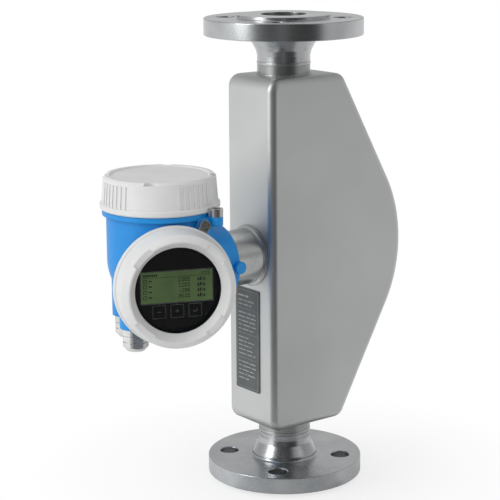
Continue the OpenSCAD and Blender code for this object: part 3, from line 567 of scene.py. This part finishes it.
def pod_outline(size, inset):
    """Outline of the housing in the XZ plane, set in by inset, with as many points for every inset."""
    back, shoulder, bulge = size.back / MM, size.shoulder / MM, size.bulge_radius / MM
    back_x, back_z = BACK_CORNER - back, BACK_CORNER - SHELL_HALF_HEIGHT
    corner_x, corner_z = shoulder - SHOULDER_CORNER, SHOULDER_CORNER - SHELL_HALF_HEIGHT
    # The straight flank is the outer tangent of the shoulder's corner and the bulge's circle.
    dx, dz = -BULGE_SETBACK - corner_x, -corner_z
    lean = math.acos((SHOULDER_CORNER - bulge) / math.hypot(dx, dz))
    flank = (math.degrees(math.atan2(dz, dx) - lean) + 180) % 360 - 180
    points = arc_points((back_x, back_z), BACK_CORNER - inset, 180, 270, BACK_STEPS)
    points += arc_points((corner_x, corner_z), SHOULDER_CORNER - inset, -90, flank, SHOULDER_STEPS)
    points += arc_points((-BULGE_SETBACK, 0), bulge - inset, flank, -flank, BULGE_STEPS)
    points += arc_points((corner_x, -corner_z), SHOULDER_CORNER - inset, -flank, 90, SHOULDER_STEPS)
    points += arc_points((back_x, -back_z), BACK_CORNER - inset, 90, 180, BACK_STEPS)
    return np.array([(x, z + MID_Z) for x, z in points])


def half_shell(size, side):
    """Hollow half of the housing: outer skin, inner skin and the flat rim between them at Y = 0."""
    edge, wall = size.edge_radius / MM, size.wall / MM
    rings = []
    for skin in (0, wall):
        half_width = SHELL_HALF_WIDTH - skin
        radius = edge - skin
        rows = [(0.0, skin)]
        for k in range(EDGE_STEPS + 1):
            angle = math.pi / 2 * k / EDGE_STEPS
            width = half_width - radius + radius * math.sin(angle)
            rows.append((width, skin + radius * (1 - math.cos(angle))))
        rings.append([np.insert(pod_outline(size, inset), 1, side * y, axis=1) for y, inset in rows])
    count = len(rings[0][0])
    points = np.vstack(rings[0] + rings[1])
    faces = []

    def strip(a, b):
        for k in range(count):
            n = (k + 1) % count
            faces.append([a + k, a + n, b + n, b + k])

    per_skin = len(rings[0])
    for skin in (0, 1):
        base = skin * per_skin * count
        for row in range(per_skin - 1):
            strip(base + row * count, base + (row + 1) * count)
        last = base + (per_skin - 1) * count
        faces.append(list(range(last, last + count)))
    strip(0, per_skin * count)
    return points, faces


class FLOWMETER_OT_sensor_housing(bpy.types.Operator):
    """Builds the two half shells of the sensor housing"""
    bl_idname = "flowmeter.sensor_housing"
    bl_label = "Sensor housing"

    def execute(self, context):
        size = settings()[0]
        for side, name in ((-1, "front"), (1, "rear")):
            made = new_object(f"pod_shell_{name}", half_shell(size, side))
            neck_hole = new_object("neck_hole", plug(NECK_HOLE_R, *NECK_HOLE_SPAN), NECK)
            pipe_hole = new_object("pipe_hole", plug(PIPE_HOLE_R, -1, FACE_TO_FACE + 1))
            cut(made, [neck_hole, pipe_hole])
            dress(made, "shell", "sensor", (f"housing_shell_{name}",))
        return {"FINISHED"}


# ---- Flanges ----

RIM_R = FLANGE_HIGH[0]
WELD_H = FLANGE_HIGH[2]
RAISED_R, RAISED_H = 44, 3
RIM_TOP = 19
HUB_R, HUB_TOP, PIPE_R, BORE_R = 32, 38, 25, 21.55
BOLT_RING_R, BOLT_R, BOLT_COUNT, BOLT_BEVEL = 55, 9, 4, 0.8


def flange_mesh():
    """Turned weld-neck flange standing on its sealing face."""
    profile = soften([
        (BORE_R, 0.0), (RAISED_R, 0.0), (RAISED_R, RAISED_H), (RIM_R, RAISED_H), (RIM_R, RIM_TOP),
        (HUB_R, RIM_TOP), (HUB_R - 0.3, RIM_TOP + 4), (PIPE_R + 1.2, HUB_TOP - 5), (PIPE_R, HUB_TOP),
        (PIPE_R, WELD_H), (BORE_R, WELD_H), (BORE_R, 0.0),
    ], {1: 0.4, 2: 0.8, 3: 0.9, 4: 0.9, 5: 3.0, 6: 3.0, 7: 7.0, 8: 5.0, 9: 0.5})
    return lathe(profile[:-1], 144, closed=True)


class FLOWMETER_OT_flanges(bpy.types.Operator):
    """Builds both weld-neck flanges with their bolt holes"""
    bl_idname = "flowmeter.flanges"
    bl_label = "Flanges"

    def execute(self, context):
        profile = [
            (0, RAISED_H - 1), (BOLT_R + BOLT_BEVEL + 1, RAISED_H - 1), (BOLT_R, RAISED_H + BOLT_BEVEL),
            (BOLT_R, RIM_TOP - BOLT_BEVEL), (BOLT_R + BOLT_BEVEL + 1, RIM_TOP + 1), (0, RIM_TOP + 1)]
        for name, place in ENDS:
            made = new_object(f"weld_neck_flange_{name}", flange_mesh(), place)
            holes = []
            for i in range(BOLT_COUNT):
                turn = Matrix.Rotation(math.radians(45 + 360 / BOLT_COUNT * i), 4, "Z")
                shift = turn @ Matrix.Translation((BOLT_RING_R, 0, 0))
                holes.append(new_object(f"bolt_hole_{i}", lathe(profile, 48), place @ shift))
            cut(made, holes)
            dress(made, "flange", "sensor", (f"flange_{name}",))
        return {"FINISHED"}


# ---- Weld beads ----

NECK_WELD_R = 28.0
PIPE_RIPPLES, NECK_RIPPLES = 44, 50


def bead(radius, width, height, ripples, level):
    """Ring of weld around Z at level: a low arch with overlapping ripples."""
    profile = [(radius - 0.6, -width / 2)]
    profile += [(radius + height * math.cos(t), width / 2 * math.sin(t)) for t in np.linspace(-1.5, 1.5, 9)]
    profile.append((radius - 0.6, width / 2))

    def rippled(r, h, angle, row):
        phase = (angle * ripples / (2 * math.pi) + 0.12 * abs(h)) % 1
        lift = 0.28 * height * (phase - 0.5) if 0 < row < len(profile) - 1 else 0
        return r + lift, h + 0.1 * math.sin(3 * angle)
    ring = lathe(profile, ripples * 5, closed=True, shape=rippled)
    return moved(ring, Matrix.Translation((0, 0, level)))


class FLOWMETER_OT_welds(bpy.types.Operator):
    """Lays the weld beads around the pipe stubs and the neck"""
    bl_idname = "flowmeter.welds"
    bl_label = "Weld beads"

    def execute(self, context):
        for name, place in ENDS:
            rings = joined(
                bead(PIPE_R, width=3.2, height=0.3, ripples=PIPE_RIPPLES, level=WELD_H),
                bead(PIPE_R + 0.4, width=1.8, height=0.7, ripples=PIPE_RIPPLES, level=SHELL_LOW[2] - 0.3))
            made = new_object(f"pipe_weld_{name}", rings, place)
            dress(made, "weld", "sensor", angle=60)
        ring = bead(NECK_WELD_R, width=2.4, height=1.2, ripples=NECK_RIPPLES, level=0.8 - NECK_HIGH[0])
        made = new_object("neck_weld", ring, NECK)
        dress(made, "weld", "sensor", angle=60)
        return {"FINISHED"}


# ---- Print on the display and the nameplate ----

LCD_SIZE, LCD_RISE = (64, 28), 2.5
MODULE_FRONT, KEY_DROP = 12.1, 19.6
READINGS = ("0.000", "0.000", "1.096", "25.00")
SEGMENTS = {"0": "abcdef", "1": "bc", "2": "abged", "5": "afgcd", "6": "afgedc", "9": "abcdfg"}
# Left edge, right edge and height of the marks that stand for a unit behind each reading.
UNIT_MARKS = ((18.5, 19.9, 2.2), (20.5, 21.9, 3.1), (22.7, 23.1, 3.3), (23.9, 25.3, 2.2))


def figures(text, left, foot, height):
    """Rectangles of seven-segment figures standing on foot."""
    width, bar = 0.52 * height, 0.15 * height
    low, high = (height - bar) / 2, (height + bar) / 2
    places = {
        "a": (0, height - bar, width, height), "g": (0, low, width, high), "d": (0, 0, width, bar),
        "f": (0, high, bar, height - bar), "e": (0, bar, bar, low),
        "b": (width - bar, high, width, height - bar), "c": (width - bar, bar, width, low),
    }
    made = []
    for character in text:
        if character == ".":
            made.append((left, foot, left + bar, foot + bar))
            left += 2 * bar
            continue
        for segment in SEGMENTS[character]:
            x0, y0, x1, y1 = places[segment]
            made.append((left + x0, foot + y0, left + x1, foot + y1))
        left += width + 1.5 * bar
    return made


def outline(x0, y0, x1, y1, line):
    """Rectangles of a frame whose outer edges are given."""
    return [(x0, y0, x1, y0 + line), (x0, y1 - line, x1, y1),
            (x0, y0 + line, x0 + line, y1 - line), (x1 - line, y0 + line, x1, y1 - line)]


def plates(rectangles, low, high):
    """Thin raised plates, one for each rectangle."""
    return joined(*(box_mesh((x0, y0, low), (x1, y1, high)) for x0, y0, x1, y1 in rectangles))


def panel_print():
    """Reading on the liquid crystal: a header, a column of symbols and four rows of figures."""
    half_w, half_h = LCD_SIZE[0] / 2, LCD_SIZE[1] / 2
    made = [(-half_w + 1, half_h - 5.2, half_w - 1, half_h - 4.9)]
    made += [(-half_w + 2 + 1.9 * i, half_h - 3.9, -half_w + 3.3 + 1.9 * i, half_h - 1.9) for i in range(7)]
    made += outline(half_w - 10, half_h - 3.9, half_w - 2.5, half_h - 1.9, 0.35)
    for row, text in enumerate(READINGS):
        foot = half_h - 9.6 - 4.9 * row
        made += figures(text, 1.5, foot, 3.3)
        made += [(left, foot, right, foot + height) for left, right, height in UNIT_MARKS]
        made += outline(-half_w + 2, foot, -half_w + 5.3, foot + 3.3, 0.5)
        made.append((-half_w + 7, foot + 1, -half_w + 9.5, foot + 2.3))
    return made


def key_print():
    """Frame around the panel, three touch keys with a tick above each, and their symbols."""
    half_w, half_h = LCD_SIZE[0] / 2, LCD_SIZE[1] / 2
    made = outline(-half_w - 0.8, -half_h - 0.8, half_w + 0.8, half_h + 0.8, 0.7)
    size, pitch, line = 12.0, 16.2, 0.45
    foot = -KEY_DROP - LCD_RISE - size / 2
    for i in (-1, 0, 1):
        x = i * pitch
        made += outline(x - size / 2, foot, x + size / 2, foot + size, line)
        made.append((x - 0.25, foot + size + 0.4, x + 0.25, foot + size + 1.9))
        middle = foot + size / 2
        if i < 1:
            made.append((x - 1.7, middle - 0.3, x + 1.7, middle + 0.3))
        if i == 0:
            made += [(x - 0.3, middle + 0.3, x + 0.3, middle + 1.7),
                     (x - 0.3, middle - 1.7, x + 0.3, middle - 0.3)]
        if i == 1:
            made += [(x - 1.7, middle - 1.5, x + 1.7, middle - 0.9),
                     (x + 1.1, middle - 0.9, x + 1.7, middle + 1.5),
                     (x - 1.7, middle - 0.9, x - 1.1, middle)]
    return made


def plate_print():
    """Ruled lines and short words, without meaning, on the nameplate."""
    half_w, half_h = (PLATE_HIGH[1] - PLATE_LOW[1]) / 2, (PLATE_HIGH[2] - PLATE_LOW[2]) / 2
    made = outline(-half_w + 2.2, -half_h + 2.2, half_w - 2.2, half_h - 2.2, 0.25)
    lengths = (9, 5, 12, 7, 4, 10, 6, 8, 3, 11)
    for row in range(21):
        z = half_h - 9 - 4.1 * row
        if row in (3, 9, 15):
            made.append((-half_w + 3.5, z + 0.6, half_w - 3.5, z + 0.85))
            continue
        left = -half_w + 4.2
        for k in range(3):
            length = lengths[(row * 3 + k) % len(lengths)]
            if left + length > half_w - 4.2:
                break
            made.append((left, z, left + length, z + (1.9 if row == 0 else 1.0)))
            left += length + 1.6
    return made


class FLOWMETER_OT_print(bpy.types.Operator):
    """Prints the reading, the keys and the lines of the nameplate"""
    bl_idname = "flowmeter.print"
    bl_label = "Print"

    def execute(self, context):
        on_panel = DISPLAY_SEAT @ Matrix.Translation((0, LCD_RISE, MODULE_FRONT))
        made = new_object("panel_figures", plates(panel_print(), 0.0, 0.12), on_panel)
        dress(made, "ink", "display_unit")
        made = new_object("key_outlines", plates(key_print(), 0.0, 0.1), on_panel)
        dress(made, "print", "display_unit")
        middle = (PLATE_LOW + PLATE_HIGH) / 2
        on_plate = Matrix((
            (0, 0, -1, PLATE_LOW[0]), (-1, 0, 0, middle[1]), (0, 1, 0, middle[2]), (0, 0, 0, 1)))
        made = new_object("nameplate_lines", plates(plate_print(), 0.0, 0.06), on_plate)
        dress(made, "etched", "sensor")
        return {"FINISHED"}


# ---- Kept frame nodes ----

class FLOWMETER_OT_frame_finishes(bpy.types.Operator):
    """Makes every material and gives the frame's own nodes theirs"""
    bl_idname = "flowmeter.frame_finishes"
    bl_label = "Finishes"

    def execute(self, context):
        make_finishes(settings()[1])
        for node, finish in NODE_FINISH.items():
            data = NODES[node].data
            if not data.materials:
                data.materials.append(None)
            for i in range(len(data.materials)):
                data.materials[i] = FINISHES[finish]
        return {"FINISHED"}


# ---- Stage ----

# Place of the camera in metres, and its right, up and backward axes.
CAMERA_PLACE = (-0.967353, -1.218135, 0.577480)
CAMERA_AXES = (
    (0.795123, -0.606413, -0.006570),
    (0.139439, 0.172267, 0.975131),
    (-0.590200, -0.776265, 0.221531),
)
LOOK = Vector((0.605, 0.796, 0)).normalized()
ACROSS = Vector((0.796, -0.605, 0)).normalized()
# Side from which the even light is strongest.
SKY = Vector((-0.8, 0.1, 0.5)).normalized()
# Bearing in degrees from the camera's side, and brightness there.
STUDIO = (
    (-180, 0.95), (-130, 0.8), (-100, 0.86), (-52, 0.9), (-41, 0.16), (-16, 0.09), (-3, 0.2), (11, 0.07),
    (50, 0.05), (60, 0.62), (80, 0.55), (110, 0.72), (140, 0.82), (180, 0.95),
)


LIGHT_AIM = (-0.05, 0, 0.22)
KEY_PLACE, KEY_SIZE = (-1.9, 0.3, 1.2), (0.7, 1.8)
FILL_PLACE, FILL_SIZE = (0.6, -1.9, 1.6), (1.6, 1.2)
FLOOR_Z = -0.5


def calculated(tree, operation, first, second):
    """Result of a math node on two values or sockets."""
    return add_node(tree, "ShaderNodeMath", {0: first, 1: second}, operation=operation).outputs[0]


def along(tree, direction, axis):
    """Share of a direction that runs along a fixed axis."""
    return add_node(tree, "ShaderNodeVectorMath", {
        0: direction, 1: tuple(axis)}, operation="DOT_PRODUCT").outputs["Value"]


def ray_kinds(tree):
    """Two sockets: 1 for a camera ray, and 1 for a glossy or a transmission ray."""
    path = add_node(tree, "ShaderNodeLightPath")
    shiny = calculated(tree, "MAXIMUM", path.outputs["Is Glossy Ray"], path.outputs["Is Transmission Ray"])
    return path.outputs["Is Camera Ray"], shiny


def studio_level(tree, direction):
    """Brightness of the studio by bearing: white walls, one dark bay and a dim ceiling."""
    right, near, height = (along(tree, direction, axis) for axis in (ACROSS, -LOOK, (0, 0, 1)))
    bearing = calculated(tree, "ARCTAN2", right, near)
    ramp = add_node(tree, "ShaderNodeValToRGB", {"Fac": span(tree, bearing, 0.0, 1.0, (-math.pi, math.pi))})
    stops = ramp.color_ramp.elements
    for degrees, level in STUDIO[2:]:
        stops.new((degrees + 180) / 360)
    for stop, (degrees, level) in zip(stops, STUDIO):
        stop.position = (degrees + 180) / 360
        stop.color = (level, level, level, 1.0)
    ceiling = span(tree, height, 1.0, 0.6, (0.0, 0.18))
    return calculated(tree, "MULTIPLY", ramp.outputs["Color"], ceiling)


def studio_world():
    """White surroundings for the eye, graded ones for gloss and an even soft light for the rest."""
    world = bpy.data.worlds.new("studio")
    bpy.context.scene.world = world
    world.use_nodes = True
    tree = world.node_tree
    tree.nodes.clear()
    direction = add_node(tree, "ShaderNodeTexCoord").outputs["Generated"]
    seen, shiny = ray_kinds(tree)
    ambient = settings()[2].ambient
    soft = span(tree, along(tree, direction, SKY), 0.55 * ambient, 1.5 * ambient, (-0.7, 0.9))
    mixed = add_node(tree, "ShaderNodeMix", {
        0: shiny, 2: soft, 3: studio_level(tree, direction)}, data_type="FLOAT")
    strength = add_node(tree, "ShaderNodeMix", {0: seen, 2: mixed.outputs[0], 3: 1.0}, data_type="FLOAT")
    back = add_node(tree, "ShaderNodeBackground", {"Color": (1, 1, 1, 1), "Strength": strength.outputs[0]})
    add_node(tree, "ShaderNodeOutputWorld", {"Surface": back.outputs[0]})


def floor_material():
    """Matt white board: it keeps the soft shadow near the part, is white beyond, and graded for gloss."""
    material, tree, shader, place = start_material("board_matt_white", Roughness=0.7, IOR=1.45)
    cloud = mottle(tree, place, 300, detail=1)
    tree.links.new(shades(tree, cloud, "#f4f4f4", "#f8f8f8"), shader.inputs["Base Color"])
    radius = add_node(tree, "ShaderNodeVectorMath", {0: place}, operation="LENGTH").outputs["Value"]
    seen, shiny = ray_kinds(tree)
    white = calculated(tree, "MULTIPLY", span(tree, radius, 0.74, 1.0, (0.09, 0.26)), seen)
    gloss = calculated(tree, "MULTIPLY", span(tree, radius, 0.3, 1.0, (0.1, 0.35)), shiny)
    lifted = add_node(tree, "ShaderNodeVectorMath", {0: place, 1: (0, 0, MID_Z * MM)}, operation="SUBTRACT")
    unit = add_node(tree, "ShaderNodeVectorMath", {0: lifted.outputs[0]}, operation="NORMALIZE")
    graded = add_node(tree, "ShaderNodeEmission", {
        "Color": (1, 1, 1, 1), "Strength": studio_level(tree, unit.outputs[0])})
    plain = add_node(tree, "ShaderNodeEmission", {"Color": (1, 1, 1, 1), "Strength": 1.0})
    first = add_node(tree, "ShaderNodeMixShader", {0: gloss, 1: shader.outputs[0], 2: graded.outputs[0]})
    second = add_node(tree, "ShaderNodeMixShader", {0: white, 1: first.outputs[0], 2: plain.outputs[0]})
    output = next(n for n in tree.nodes if n.type == "OUTPUT_MATERIAL")
    tree.links.new(second.outputs[0], output.inputs["Surface"])
    return material


def softbox(name, place, size, power):
    """Large rectangular area light that looks at the part."""
    light = bpy.data.lights.new(name, "AREA")
    light.shape = "RECTANGLE"
    light.size, light.size_y = size
    light.energy = power
    made = bpy.data.objects.new(name, light)
    bpy.context.scene.collection.objects.link(made)
    made.location = place
    made.rotation_euler = (Vector(LIGHT_AIM) - Vector(place)).to_track_quat("-Z", "Y").to_euler()


class FLOWMETER_OT_stage(bpy.types.Operator):
    """Sets the floor, the studio light and the camera"""
    bl_idname = "flowmeter.stage"
    bl_label = "Stage"

    def execute(self, context):
        stage = settings()[2]
        half = stage.floor_size / 2 / MM
        sides = ((-half, -half), (half, -half), (half, half), (-half, half))
        corners = np.array([(x, y, FLOOR_Z) for x, y in sides])
        floor = new_object("floor", (corners, [[0, 1, 2, 3]]))
        floor.data.materials.append(floor_material())
        studio_world()
        softbox("key_softbox", KEY_PLACE, KEY_SIZE, stage.key_power)
        softbox("fill_softbox", FILL_PLACE, FILL_SIZE, stage.fill_power)
        camera_data = bpy.data.cameras.new("camera")
        camera_data.lens = stage.lens
        camera_data.sensor_width = 36
        camera = bpy.data.objects.new("camera", camera_data)
        axes = Matrix(CAMERA_AXES).transposed().to_4x4()
        camera.matrix_world = Matrix.Translation(CAMERA_PLACE) @ axes
        bpy.context.scene.collection.objects.link(camera)
        bpy.context.scene.camera = camera
        bpy.context.scene.view_settings.view_transform = "Standard"
        return {"FINISHED"}


class FLOWMETER_PT_panel(bpy.types.Panel):
    """Lists the pieces of the flow meter and their settings"""
    bl_label = "Flow meter"
    bl_idname = "FLOWMETER_PT_panel"
    bl_space_type = "VIEW_3D"
    bl_region_type = "UI"
    bl_category = "Flow meter"

    def draw(self, context):
        for group in settings():
            for key in group.bl_rna.properties.keys():
                if key not in ("rna_type", "name"):
                    self.layout.prop(group, key)
        for operator in OPERATORS:
            self.layout.operator(operator.bl_idname)


GROUPS = {
    "flow_meter_housing": FlowMeterHousing,
    "flow_meter_colours": FlowMeterColours,
    "flow_meter_stage": FlowMeterStage,
}
OPERATORS = (
    FLOWMETER_OT_frame_finishes,
    FLOWMETER_OT_sensor_housing,
    FLOWMETER_OT_flanges,
    FLOWMETER_OT_welds,
    FLOWMETER_OT_print,
    FLOWMETER_OT_stage,
)


def register():
    """Registers the settings, the operators and the panel."""
    for group in GROUPS.values():
        bpy.utils.register_class(group)
    for name, group in GROUPS.items():
        setattr(bpy.types.Scene, name, bpy.props.PointerProperty(type=group))
    for operator in OPERATORS:
        bpy.utils.register_class(operator)
    bpy.utils.register_class(FLOWMETER_PT_panel)


def unregister():
    """Takes everything that register made away again."""
    bpy.utils.unregister_class(FLOWMETER_PT_panel)
    for operator in reversed(OPERATORS):
        bpy.utils.unregister_class(operator)
    for name in GROUPS:
        delattr(bpy.types.Scene, name)
    for group in reversed(GROUPS.values()):
        bpy.utils.unregister_class(group)


def main():
    """Builds every piece in order."""
    register()
    for operator in OPERATORS:
        category, name = operator.bl_idname.split(".")
        getattr(getattr(bpy.ops, category), name)()


if __name__ == "__main__":
    main()
